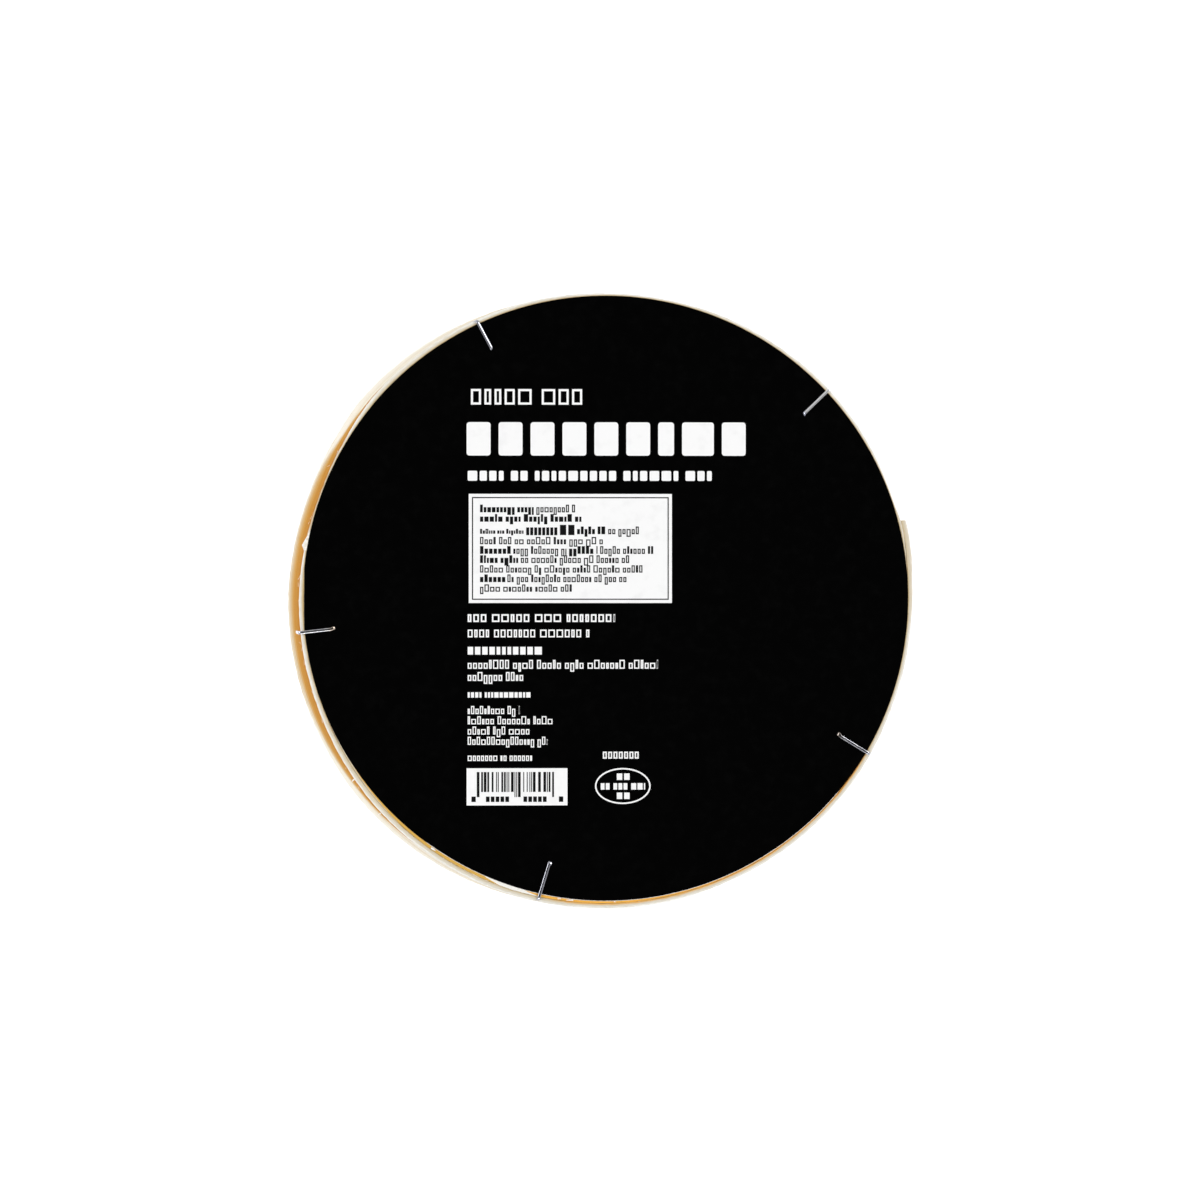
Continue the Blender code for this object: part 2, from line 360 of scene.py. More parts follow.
def strip_finish(name, bottom, top, heart_direction, heart_depth, lap_direction):
    """Veneer along the strip, with heartwood on one side and painted light and shade."""
    wood = Finish(name, Specular_IOR_Level=WOOD_SHINE)
    flat = wood.node("UVMap", {"uv_map": "grain"})
    along = wood.node("SeparateXYZ", None, {0: flat})
    across = along.part("Y")
    x, y, z = wood.place()
    fibres = wood.noise(along * 0.035, across * 3.4, 2.0, detail=5.0, roughness=0.62)
    bands = wood.noise(along * 0.011, across * 0.28, 7.0, detail=2.0)
    blotches = wood.noise(along * 0.06, across * 0.11, 4.0, detail=2.0)
    pores = wood.noise(along * 0.42, across * 6.5, 11.0, detail=1.0).between(*PORE_LEVELS)
    checks = wood.noise(along * 2.6, across * 0.35, 15.0, detail=2.0).between(0.6, 0.7)
    streaks = fibres * 0.55 + bands * 0.45
    sapwood = wood.ramp(streaks, (0.33, HONEY), (0.44, STRAW), (0.60, CREAM))

    turn = turned(x, y, heart_direction)
    heart = turn.between(*HEART_RISE) * (1.0 - turn.between(*HEART_FALL))
    depth = top / MM - z
    figure = wood.noise(along * 0.022, across * 1.1, 21.0, detail=3.0, roughness=0.6)
    ragged = (figure - 0.5) * 0.9 + (fibres - 0.5) * 0.25
    beyond_heart = 1.0 - turn.inside(*HEART_ARC)
    # Painted floor light: the fade makes the heartwood paler the further it lies below the top.
    fade = depth / (heart * heart_depth + 0.8) + ragged + beyond_heart * 2.0
    heartwood = wood.ramp(fade, *HEART_AND_FLOOR_LIT_STOPS)
    heartwood = wood.mix(fibres.between(0.45, 0.75) * 0.5, heartwood, DEEP_HEART)
    # Painted floor light: the sapwood is mixed halfway to pale from 8 to 24 mm below the top.
    sapwood = wood.mix(depth.between(8.0, 24.0) * 0.5, sapwood, FLOOR_LIT_PALE)
    side = wood.mix(fade.between(0.75, 1.0), heartwood, sapwood)
    side = wood.mix((0.5 - fibres) * 0.5, side, HONEY)
    side = wood.mix(pores * PORE_SHARE, side, PORE_BROWN)

    at_top = z.between(top / MM - SAWN_FADED, top / MM - SAWN_FULL)
    at_bottom = 1.0 - z.between(bottom / MM + SAWN_FULL, bottom / MM + SAWN_FADED)
    sawn = wood.noise(along * 0.9, across * 5.0, 5.0, detail=4.0, roughness=0.7)
    from_inside = across - (at_top * (top - bottom) + bottom) / MM
    lines = wood.noise(along * 0.12, across * 7.0, 23.0, detail=2.0)
    uneven = (sawn - 0.5) * 0.6 + (lines - 0.5) * 0.6 + (blotches - 0.5) * 0.3
    # Painted shade on the edge's inside and a painted highlight on its outer corner.
    edge = wood.ramp(from_inside + uneven, *SAWN_SHADE_AND_HIGHLIGHT_STOPS)
    browned = from_inside.between(0.72, 0.84) * turn.inside(*BROWNED_ARC)
    edge = wood.mix(browned, edge, HEART_AND_FLOOR_LIT_STOPS[0][1])
    tanned = turned(x, y, lap_direction).inside(*TANNED_ARC)
    edge = wood.mix(tanned * 0.4, edge, GLUE_TAN)
    # A gold line along the label's edge.
    by_label = 1.0 - from_label(x, y).between(0.02, 0.26)
    edge = wood.mix(by_label * 0.75, edge, LABEL_EDGE_GOLD)
    glued = (1.0 - from_inside.between(0.10, 0.40)) * turn.inside(*GLUED_ARC)
    edge = wood.mix(glued * 0.8, edge, GLUE_AMBER)
    wood.set(Base_Color=wood.mix(at_top + at_bottom, side, edge),
             Roughness=fibres * 0.2 + WOOD_ROUGHNESS)
    wood.bump(fibres * 0.8 + sawn * 0.5 - pores * 0.5 - checks * 0.3, WOOD_RELIEF)
    return wood.material


lid_strip_wood = strip_finish("lid_strip_veneer", LID_BOTTOM, LID_TOP, 180.0, 27.0, 8.0)
base_strip_wood = strip_finish("base_strip_veneer", 0.0, BASE_TOP, -40.0, 8.0, 118.0)
print("strip finishes:", lid_strip_wood.name, base_strip_wood.name)

# %% [markdown]
# The discs are sawn from flat veneer, so their grain runs straight across and doesn't follow the
# rim. The pattern is turned a little, because no disc was put in with its grain square to the box.
# What happens at the rim differs, so each disc is given its own small function for it. The lid's
# rim is what shows beside the label: amber at the front, golden at the lower left, and pale where
# the strip's edge leans onto it, with one bare patch where the wood was bruised white.

# %% The finish of a disc
RIM_GOLD = linear(224, 179, 90)
RIM_AMBER = linear(244, 184, 84)
RIM_PALE = linear(226, 214, 188)
BRUISE_WHITE = linear(250, 248, 242)
RIM_SHADED = linear(214, 180, 128)
# Where the glow and the pale rim start and are full, in millimetres from their centres.
RIM_GLOW = (54.4, 55.2)
PALE_CENTRE = (0.6, -1.04)
PALE_RIM = (55.98, 56.13)
# Where gold turns to amber, and where the bruise lies, in degrees from the front.
AMBER_TURN = (-22.0, -12.0)
BRUISE_ARC = (-23.8, -16.3, 0.8)
BRUISE_SLANT = 6.0


def lid_rim(wood, x, y, tone):
    """The rim of the lid's disc, as it shows beside the label."""
    from_front = turned(x, y, -90.0)
    glow = wood.mix(from_front.between(*AMBER_TURN), RIM_GOLD, RIM_AMBER)
    ragged = (wood.noise(x * 0.8, y * 0.8, 3.0, detail=3.0) - 0.5) * 0.3
    pale = (span(x - PALE_CENTRE[0], y - PALE_CENTRE[1]) + ragged).between(*PALE_RIM)
    glow = wood.mix(pale, glow, RIM_PALE)
    slanted = from_front + ragged * 8.0 - from_label(x, y) * BRUISE_SLANT
    glow = wood.mix(slanted.inside(*BRUISE_ARC), glow, BRUISE_WHITE)
    return wood.mix(span(x, y).between(*RIM_GLOW), tone, glow)


def base_rim(wood, x, y, tone):
    """The rim of the base's disc, a little darker where the strip shades it."""
    rim = span(x, y).between(BASE_INNER / MM - 1.4, BASE_INNER / MM - 0.1)
    return wood.mix(rim * 0.7, tone, RIM_SHADED)


def disc_finish(name, turn, pale, warm, paint_rim):
    """Flat veneer with straight grain, and a rim of its own."""
    wood = Finish(name, Specular_IOR_Level=WOOD_SHINE)
    x, y, _ = wood.place()
    along, across = aligned(x, y, turn)
    sweep = wood.noise(along * 0.012, across * 0.05, 3.0, detail=2.0)
    figure = wood.noise(along * 0.02, across * 0.34 + sweep * 5.0, 9.0, detail=3.0)
    fibres = wood.noise(along * 0.05, across * 3.2, 1.0, detail=5.0, roughness=0.62)
    pores = wood.noise(along * 0.4, across * 6.0, 6.0, detail=1.0).between(*PORE_LEVELS)
    tone = wood.ramp(figure * 0.55 + fibres * 0.45, (0.34, warm), (0.62, pale))
    tone = wood.mix(pores * PORE_SHARE, tone, PORE_BROWN)
    wood.set(Base_Color=paint_rim(wood, x, y, tone), Roughness=fibres * 0.2 + WOOD_ROUGHNESS)
    wood.bump(fibres * 0.8 + figure * 0.5 - pores * 0.5, WOOD_RELIEF)
    return wood.material


lid_disc_wood = disc_finish("lid_disc_veneer", 12.0, STRAW, HONEY, lid_rim)
base_disc_wood = disc_finish("base_disc_veneer", -28.0, CREAM, HONEY, base_rim)
print("disc finishes:", lid_disc_wood.name, base_disc_wood.name)

# %% [markdown]
# The label is coated paper, printed solid black, so it is nearly as dark as a surface can be. What
# gives it life is its relief: the fine tooth of the paper, and the grain of the wood that shows
# through it. Its cut edge shows the white core of the paper, and because a label is never cut
# quite in step with its print, a hair of bare paper is left along the front edge. White print is
# the bare paper, and dark print is ink, each a little uneven.

# %% The finishes of the label
PAPER_WHITE = linear(246, 244, 238)
BARE_ARC = (-36.0, 50.0, 1.5)
BARE_WIDTH = 0.04
BARE_RAGGED = 0.12


def beyond_print(paper, x, y):
    """1 on the hair of bare paper at the front, where the label was cut past its print."""
    ragged = (paper.noise(x * 2.0, y * 2.0, 4.0, detail=3.0) - 0.5) * BARE_RAGGED
    from_edge = from_label(x, y) + ragged
    at_front = turned(x, y, -90.0).inside(*BARE_ARC)
    return (from_edge + at_front * BARE_WIDTH).between(-0.02, 0.02) * at_front


def paper_finish(name, tone, worn_tone, roughness, specular, relief, has_margin=False):
    """Printed paper: an even tone with faint mottling, and the tooth of the paper."""
    paper = Finish(name, Specular_IOR_Level=specular)
    x, y, z = paper.place()
    mottle = paper.noise(x * 0.5, y * 0.5, z, detail=4.0)
    tooth = paper.noise(x * 7.0, y * 7.0, z, detail=2.0)
    veneer = paper.noise(x * 0.06, y * 1.6, 8.0, detail=3.0)
    colour = paper.mix(mottle.between(0.45, 0.8), tone, worn_tone)
    if has_margin:
        colour = paper.mix(beyond_print(paper, x, y), colour, PAPER_WHITE)
    paper.set(Base_Color=colour)
    paper.set(Roughness=mottle * 0.12 + roughness)
    paper.bump(tooth * 0.5 + veneer * 0.9, relief)
    return paper.material


label_black = paper_finish("label_black", linear(2, 2, 2), linear(4, 4, 4), 0.3, 0.03,
                           0.03 * MM, has_margin=True)
paper_core = paper_finish("label_paper_core", linear(238, 234, 224), linear(222, 214, 198), 0.8,
                          0.3, 0.02 * MM)
print_white = paper_finish("print_white", linear(250, 250, 250), linear(243, 243, 243), 0.55,
                           0.3, 0.01 * MM)
print_black = paper_finish("print_black", linear(14, 14, 15), linear(24, 24, 25), 0.5, 0.1,
                           0.01 * MM)
print("label finishes:", label_black.name, print_white.name, print_black.name)

# %% [markdown]
# The staples are tinned steel wire. Drawing and flattening leaves fine scratches along the wire,
# which spread its shine, and the tin has greyed in patches, more towards the front of the box.
# Metal shows only what it reflects, so its base colour stays bright and its roughness does the
# work. A mark in a wire's direction tones its colour down where its reflection shows dimmer or
# warmer, over the whole of one wire and at the inner bends of others: a painted reflection.

# %% The finish of the wire
TIN_BRIGHT = linear(253, 253, 255)
TIN_DULL = linear(186, 187, 197)
SCRATCH_DEPTH = 0.006 * MM
MARK_ARC = (-3.0, 3.0, 0.5)
# Marks of painted reflection, one wire each.
WIRE_REFLECTION_MARKS = (
    # direction from the middle, radius where the mark starts to fade and where it ends, tone
    (114.5, 58.0, 60.0, linear(182, 183, 192)),
    (43.3, 51.0, 51.4, linear(150, 152, 165)),
    (-29.7, 50.2, 51.4, linear(128, 120, 114)),
    (-174.4, 51.2, 52.4, linear(205, 190, 175)),
)


def wire_finish():
    """Tinned wire with scratches and dull patches."""
    wire = Finish("staple_wire", Metallic=1.0, Roughness=0.3)
    x, y, z = wire.place()
    dull = wire.noise(x * 1.3, y * 1.3, z * 1.3, detail=3.0)
    scratches = wire.noise(x * 9.0, y * 9.0, z * 9.0, detail=2.0)
    tarnish = (dull - y * 0.007).between(0.35, 0.85)
    tin = wire.mix(tarnish, TIN_BRIGHT, TIN_DULL)
    radius = span(x, y)
    # Painted reflection: each mark tones the colour of one wire, all of it or its inner bend.
    for direction, start, end, tone in WIRE_REFLECTION_MARKS:
        along_wire = turned(x, y, direction).inside(*MARK_ARC)
        tin = wire.mix(along_wire * (1.0 - radius.between(start, end)), tin, tone)
    wire.set(Base_Color=tin)
    wire.set(Roughness=dull * 0.10 + scratches * 0.05 + 0.11)
    wire.bump(scratches, SCRATCH_DEPTH)
    return wire.material


staple_wire = wire_finish()
print("wire finish:", staple_wire.name)

# %% [markdown]
# Modelling with operators needs a little order. A new primitive takes its place and size into its
# mesh at once, so that every finished piece sits at the origin. Edit mode is opened and closed by
# one helper, and elements are chosen in code, by their place or their direction.

# %% Helpers for modelling
SMOOTH_BELOW = 35.0


def new_piece(name, primitive, scale=(1.0, 1.0, 1.0), **settings):
    """Add a primitive under its own name, with its place and size put into its mesh."""
    bpy.ops.object.select_all(action="DESELECT")
    primitive(**settings)
    piece = bpy.context.object
    piece.name = name
    piece.data.name = name
    piece.scale = scale
    bpy.ops.object.transform_apply(location=True, rotation=True, scale=True)
    return piece


def only(piece):
    """Select one piece and nothing else."""
    bpy.ops.object.select_all(action="DESELECT")
    bpy.context.view_layer.objects.active = piece
    piece.select_set(True)


@contextmanager
def editing(piece, kind="FACE"):
    """Edit mode on one piece, with nothing selected at first."""
    only(piece)
    bpy.ops.object.mode_set(mode="EDIT")
    bpy.ops.mesh.select_mode(type=kind)
    bpy.ops.mesh.select_all(action="DESELECT")
    yield
    bpy.ops.object.mode_set(mode="OBJECT")


def pick_all():
    """Select the whole mesh in hand."""
    bpy.ops.mesh.select_all(action="SELECT")


def pick(piece, test, kind="faces"):
    """Select just the faces, edges or corners that pass a test."""
    builder = bmesh.from_edit_mesh(piece.data)
    for element in getattr(builder, kind):
        element.select_set(False)
    for element in getattr(builder, kind):
        if test(element):
            element.select_set(True)
    builder.select_flush_mode()
    bmesh.update_edit_mesh(piece.data)


def push(x=0.0, z=0.0):
    """Extrude what is selected and move it."""
    bpy.ops.mesh.extrude_region_move(TRANSFORM_OT_translate={"value": (x, 0.0, z)})


def face_outwards():
    """Turn all faces of the mesh in hand outwards."""
    pick_all()
    bpy.ops.mesh.normals_make_consistent(inside=False)


def thicken(piece, height, lift=0.0):
    """Move a flat piece up by a lift, if any, and raise it into a block of some height."""
    with editing(piece):
        pick_all()
        bpy.ops.transform.translate(value=(0.0, 0.0, lift))
        push(z=height)
        face_outwards()


def finish_with(piece, kind, **settings):
    """Add a modifier and apply it."""
    modifier = piece.modifiers.new(kind.lower(), kind)
    for key, value in settings.items():
        setattr(modifier, key, value)
    only(piece)
    bpy.ops.object.modifier_apply(modifier=modifier.name)


def bevel(piece, width, segments=2, angle=30.0):
    """Ease the edges where faces meet at more than an angle."""
    finish_with(piece, "BEVEL", width=width, segments=segments, limit_method="ANGLE",
                angle_limit=math.radians(angle))


def copy_of(pattern, name):
    """A copy of a piece, with a mesh of its own."""
    piece = pattern.copy()
    piece.data = pattern.data.copy()
    piece.name = name
    piece.data.name = name
    bpy.context.collection.objects.link(piece)
    return piece


def discard(piece):
    """Take away a piece that was only needed on the way."""
    bpy.data.objects.remove(piece, do_unlink=True)


def join(name, pieces):
    """Join pieces into one."""
    only(pieces[0])
    for piece in pieces:
        piece.select_set(True)
    bpy.ops.object.join()
    pieces[0].name = name
    pieces[0].data.name = name
    return pieces[0]


def shade(piece, angle=SMOOTH_BELOW):
    """Shade a piece smooth where its faces meet at less than an angle."""
    only(piece)
    bpy.ops.object.shade_smooth_by_angle(angle=math.radians(angle))


def dress(piece, material, slot, *nodes, smooth=SMOOTH_BELOW):
    """Give a piece its finish, its shading and its body, and hide the solids it stands for."""
    if material:
        piece.data.materials.clear()
        piece.data.materials.append(material)
    shade(piece, smooth)
    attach(piece, "root")
    if nodes:
        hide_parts(*nodes)


print("modelling helpers are ready")

# %% [markdown]
# A strip is made as in the workshop: first a flat length of veneer, then bent round a path. The
# path is a curve that follows the strip's inner face. The strip's start is tucked in under its
# end, as the solids have it. No bent wood is truly round, so each strip stands out of true by a
# few tenths of a millimetre, more in some places than in others.

# %% The path of a strip
LAP_ANGLE = 33.0
WHOLE_TRAVEL = 360.0 + LAP_ANGLE
STEPS_PER_DEGREE = 1.5
LAP_TUCK = 1.1 * MM
TUCK_HELD_ANGLE = 8.0
TUCK_FREE_ANGLE = 54.0
LEAD_ANGLE = 9.0
LAP_SLIT = 0.05 * MM
# Where a strip starts, in degrees, and how far it stands out of true at some angles.
Bend = namedtuple("Bend", "radius lap_start out_of_round")
LID_BEND = Bend(LID_INNER, -18.0, (
    (-160.0, 0.10), (-135.0, 0.35), (-112.0, 0.30), (-90.0, 0.08), (-70.0, 0.00), (-50.0, 0.08),
    (-35.0, 0.24), (-24.0, 0.18), (-12.0, 0.45), (0.0, 0.43), (14.0, 0.74), (20.0, 0.28),
    (40.0, 0.37), (60.0, 0.32), (85.0, 0.10), (108.0, 0.35), (138.0, 0.50), (150.0, 0.02),
    (160.0, -0.20), (170.0, -0.08), (180.0, 0.10),
))
BASE_BEND = Bend(BASE_INNER, 92.0, (
    (-150.0, 0.10), (-60.0, -0.08), (30.0, 0.12), (110.0, -0.05),
))


def smooth_step(value, start, end):
    """0 before start, 1 after end, and a smooth rise between them."""
    share = min(max((value - start) / (end - start), 0.0), 1.0)
    return share * share * (3.0 - 2.0 * share)


def tuck(travel):
    """How far inwards a strip lies after so many degrees of travel from its start."""
    return LAP_TUCK * (1.0 - smooth_step(travel, TUCK_HELD_ANGLE, TUCK_FREE_ANGLE))


def path_radius(travel, radius):
    """Radius of the strip's inner face after so many degrees of travel."""
    if travel < 360.0:
        led = smooth_step(travel, 360.0 - LEAD_ANGLE, 360.0)
        return radius - tuck(travel) + led * (STRIP_THICK + LAP_SLIT - LAP_TUCK)
    return radius + STRIP_THICK + LAP_SLIT - tuck(travel - 360.0)


def waver(angle, bend):
    """How far a strip stands out of true at an angle, eased between the places in its list."""
    first, stand = bend.out_of_round[0]
    angle = (angle - first) % 360.0 + first
    places = (*bend.out_of_round, (first + 360.0, stand))
    for (start, before), (end, after) in zip(places, places[1:]):
        if angle <= end:
            return (before + (after - before) * smooth_step(angle, start, end)) * MM
    return 0.0


def strip_path(name, bend):
    """A curve along the strip's inner face, and its length."""
    steps = int(WHOLE_TRAVEL * STEPS_PER_DEGREE)
    points = []
    for step in range(steps + 1):
        travel = WHOLE_TRAVEL * step / steps
        angle = bend.lap_start + travel
        radius = path_radius(travel, bend.radius) + waver(angle, bend)
        turn = math.radians(angle)
        points.append(Vector((radius * math.cos(turn), radius * math.sin(turn), 0.0)))
    bpy.ops.object.select_all(action="DESELECT")
    bpy.ops.curve.primitive_nurbs_path_add(enter_editmode=False, location=(0.0, 0.0, 0.0))
    path = bpy.context.object
    path.name = name
    path.data.dimensions = "2D"
    path.data.splines.clear()
    line = path.data.splines.new("POLY")
    line.points.add(len(points) - 1)
    for spot, point in zip(line.points, points):
        spot.co = (*point, 1.0)
    length = sum((b - a).length for a, b in zip(points, points[1:]))
    return path, length


print("tucked by %.1f mm at its start" % (tuck(0.0) / MM))

# %% [markdown]
# The flat length is a fine grid stood on its edge, given its thickness by Solidify and eased edges
# by Bevel. The grain map is written while it is flat. Its sawn edges are roughened by moving their
# corners at random by a few hundredths of a millimetre, and then the Curve modifier bends it.

# %% Bend a strip
STRIP_STEPS = 420
STRIP_ROWS = 10
EDGE_EASE = 0.12 * MM
SAW_MARK = 0.05 * MM


def lay_grain(piece):
    """Write the map that the veneer finish reads: millimetres along and across the flat strip."""
    grain = piece.data.uv_layers.get("grain") or piece.data.uv_layers.new(name="grain")
    for loop in piece.data.loops:
        spot = piece.data.vertices[loop.vertex_index].co
        grain.data[loop.index].uv = (spot.x / MM, (spot.z - spot.y) / MM)


def bent_strip(name, bend, bottom, top):
    """A strip of veneer bent round a path, past its own start."""
    path, length = strip_path(name + "_path", bend)
    strip = new_piece(name, bpy.ops.mesh.primitive_grid_add, size=1.0,
                      x_subdivisions=STRIP_STEPS, y_subdivisions=STRIP_ROWS,
                      location=(length / 2.0, 0.0, (bottom + top) / 2.0),
                      rotation=(math.pi / 2.0, 0.0, 0.0), scale=(length, top - bottom, 1.0))
    while strip.data.uv_layers:
        strip.data.uv_layers.remove(strip.data.uv_layers[0])
    finish_with(strip, "SOLIDIFY", thickness=STRIP_THICK, offset=1.0)
    bevel(strip, EDGE_EASE, angle=60.0)
    lay_grain(strip)
    with editing(strip, "VERT"):
        for level, seed in ((bottom, 3), (top, 5)):
            pick(strip, lambda corner: abs(corner.co.z - level) < EDGE_EASE * 1.5, "verts")
            bpy.ops.transform.vertex_random(offset=SAW_MARK, uniform=1.0, seed=seed)
    finish_with(strip, "CURVE", object=path, deform_axis="POS_X")
    discard(path)
    return strip


lid_wrap = bent_strip("lid_wrap", LID_BEND, LID_BOTTOM, LID_TOP)
base_wrap = bent_strip("base_wrap", BASE_BEND, 0.0, BASE_TOP)
dress(lid_wrap, lid_strip_wood, "poplar_strip", "lid_strip")
dress(base_wrap, base_strip_wood, "poplar_strip", "base_strip")
print("lid strip: %d faces, base strip: %d faces" % (
    len(lid_wrap.data.polygons), len(base_wrap.data.polygons)))

# %% [markdown]
# The lid's disc shows only as a thin crescent beside the label, and the base's disc is the whole
# underside. Each starts as a filled circle, is extruded to its thickness and gets eased edges.
# The base's disc is pressed in where its strip is tucked, so its rim follows the strip.

# %% The two discs
DISC_SIDES = 240
DISC_FIT = 0.03 * MM
LID_DISC_THICK = 1.7 * MM
LID_DISC_DROP = 0.03 * MM
DISC_EASE = 0.1 * MM


def press_rim(disc, bend):
    """Move the rim's corners inwards where the strip is tucked."""
    for corner in disc.data.vertices:
        angle = math.degrees(math.atan2(corner.co.y, corner.co.x))
        travel = (angle - bend.lap_start) % 360.0
        led = smooth_step(travel, 360.0 - LEAD_ANGLE, 360.0)
        radius = bend.radius - tuck(travel) - led * LAP_TUCK - DISC_FIT
        radius += waver(angle, bend)
        corner.co.xy = corner.co.xy.normalized() * radius


def make_disc(name, bend, bottom, top):
    """A disc, or a block with a veneer underside, between two levels and inside its strip."""
    disc = new_piece(name, bpy.ops.mesh.primitive_circle_add, vertices=DISC_SIDES,
                     radius=bend.radius, fill_type="NGON", location=(0.0, 0.0, bottom))
    thicken(disc, top - bottom)
    press_rim(disc, bend)
    bevel(disc, DISC_EASE)
    return disc


lid_face = make_disc("lid_face", LID_BEND, LID_TOP - LID_DISC_THICK, LID_TOP - LID_DISC_DROP)
base_face = make_disc("base_face", BASE_BEND, 0.0, BASE_TOP)
dress(lid_face, lid_disc_wood, "poplar_disc", "lid_disc")
dress(base_face, base_disc_wood, "poplar_disc", "base_body")
print("lid disc radius %.2f mm" % (LID_INNER / MM))

# %% [markdown]
# The label is a thin disc of paper, glued a little off the middle, so that it laps onto the
# strip's edge at the top and leaves a crescent of wood at the bottom. It was trimmed a hair flat
# at its left, which a bisect cuts. Its rim is left white, because that is the paper's core.

# %% The label
LABEL_THICK = 0.1 * MM
LABEL_SIDES = 256
LABEL_FLAT = 0.34 * MM
LABEL_MARGIN = 0.02 * MM
PAPER_SHIFT = (0.0, -0.01 * MM)
GLUE_THICK = 0.02 * MM
LABEL_BOTTOM = LID_TOP + GLUE_THICK
LABEL_TOP = LABEL_BOTTOM + LABEL_THICK


def make_label():
    """A thin paper disc with a black face and a white core at its cut edge."""
    half_wide, half_deep = (half * MM + LABEL_MARGIN for half in PRINT_HALF)
    centre = (LABEL_CENTRE.x + PRINT_SHIFT[0] * MM + PAPER_SHIFT[0],
              LABEL_CENTRE.y + PRINT_SHIFT[1] * MM + PAPER_SHIFT[1])
    label = new_piece("label_sheet", bpy.ops.mesh.primitive_circle_add, vertices=LABEL_SIDES,
                      radius=1.0, fill_type="NGON", location=(*centre, LABEL_BOTTOM),
                      scale=(half_wide, half_deep, 1.0))
    with editing(label):
        pick_all()
        bpy.ops.mesh.bisect(plane_co=(centre[0] - half_wide + LABEL_FLAT, 0.0, 0.0),
                            plane_no=(-1.0, 0.0, 0.0), clear_outer=True)
    thicken(label, LABEL_THICK)
    label.data.materials.append(label_black)
    label.data.materials.append(paper_core)
    for face in label.data.polygons:
        face.material_index = 0 if face.normal.z > 0.5 else 1
    return label


label_sheet = make_label()
dress(label_sheet, None, "label_paper", "lid_label")
print("label: %d faces, top at %.2f mm" % (len(label_sheet.data.polygons), LABEL_TOP / MM))

# %% [markdown]
# The label's print is made of plain shapes, as a designer draws text that isn't written yet: each
# letter is a small block. A grid is laid over the line, and a seeded random rule says which cells
# are filled: letters are two to four cells wide with one empty cell between them, and in small
# text some rise above the line or hang below it. The empty cells are deleted and the rest melt
# into blocks. Light print keeps only a thin outline of each block, which an inset gives.

# %% Helpers for the print
INK = 0.02 * MM
LETTER_CELLS = (2, 3, 3, 3, 4)
PLAIN_CELLS = 3
CELLS_PER_LETTER = 4
WORD_GAP = 2
CAPITAL_ROWS = (0,)
SMALL_ROWS = (1, 2)
RISES_BELOW = 0.3
HANGS_ABOVE = 0.88
CORNER = 0.22
MELT_ANGLE = 0.02
PRINT_CENTRE = (LABEL_CENTRE.x - 0.22 * MM, LABEL_CENTRE.y + 0.05 * MM)


def on_label(x, y):
    """A point on the label's face, from millimetres right of and above the print's centre."""
    return (PRINT_CENTRE[0] + x * MM, PRINT_CENTRE[1] + y * MM, LABEL_TOP)


def hollow(piece, stroke):
    """Inset every face and delete what is inside the rim."""
    with editing(piece):
        pick_all()
        bpy.ops.mesh.inset(thickness=stroke * MM, use_individual=True)
        bpy.ops.mesh.delete(type="FACE")


def round_corners(piece, size):
    """Round the corners of flat blocks."""
    with editing(piece, "VERT"):
        pick_all()
        bpy.ops.mesh.bevel(offset=size * MM, segments=3, affect="VERTICES")


def filled_cells(columns, words, chance, small):
    """Which cells of a line of print are filled, letter by letter and word by word."""
    filled = set()
    column = 0
    word = 0
    letters = words[0]
    while column < columns:
        uneven = len(words) > 1 or words[0] > 9
        wide = chance.choice(LETTER_CELLS) if uneven else PLAIN_CELLS
        rows = list(SMALL_ROWS if small else CAPITAL_ROWS)
        if small:
            shape = chance.random()
            rows += [3] if shape < RISES_BELOW else [0] if shape > HANGS_ABOVE else []
        filled |= {(cell, row) for cell in range(column, column + wide) for row in rows}
        column += wide + 1
        letters -= 1
        if letters == 0:
            column += WORD_GAP
            word = (word + 1) % len(words)
            letters = words[word]
    return filled


def printed_row(name, left, right, middle, height, letters, words, small=False, stroke=0.0,
                corner=0.0, layer=1):
    """A line of print with about so many letters, from left to right."""
    columns = letters * CELLS_PER_LETTER - 1
    row_count = 4 if small else 1
    tall = height * (2.0 if small else 1.0)
    row = new_piece(name, bpy.ops.mesh.primitive_grid_add, size=1.0,
                    x_subdivisions=columns, y_subdivisions=row_count,
                    location=on_label((left + right) / 2.0, middle),
                    scale=((right - left) * MM, tall * MM, 1.0))
    corner_x, corner_y, _ = on_label(left, middle - tall / 2.0)
    wide = (right - left) * MM / columns
    high = tall * MM / row_count
    filled = filled_cells(columns, words, random.Random(name), small)

    def is_empty(face):
        """Whether a face lies in a cell that is left empty."""
        spot = face.calc_center_median()
        return (int((spot.x - corner_x) / wide), int((spot.y - corner_y) / high)) not in filled

    with editing(row):
        pick(row, is_empty)
        bpy.ops.mesh.delete(type="FACE")
        pick_all()
        bpy.ops.mesh.dissolve_limited(angle_limit=MELT_ANGLE)
    if corner:
        round_corners(row, corner)
    if stroke:
        hollow(row, stroke)
    thicken(row, INK, INK * (layer - 1))
    return row


def printed_rows(name, table, layer=1):
    """Lines of print from a table, numbered from the top."""
    return [printed_row("%s_%d" % (name, number), *row, layer=layer)
            for number, row in enumerate(table)]


def plate(name, left, right, low, high, stroke=0.0, layer=1):
    """A rectangle of print, or only its outline."""
    piece = new_piece(name, bpy.ops.mesh.primitive_plane_add, size=1.0,
                      location=on_label((left + right) / 2.0, (low + high) / 2.0),
                      scale=((right - left) * MM, (high - low) * MM, 1.0))
    if stroke:
        hollow(piece, stroke)
    thicken(piece, INK, INK * (layer - 1))
    return piece


print("print is %.2f mm thick" % (INK / MM))

# %% [markdown]
# From the top down there is a light line of outlined blocks, a heading of large solid blocks and
# a line of small spaced blocks, all white. Below the framed panel come lines of fine print, bold
# ones as solid blocks and plain ones as thin outlines.

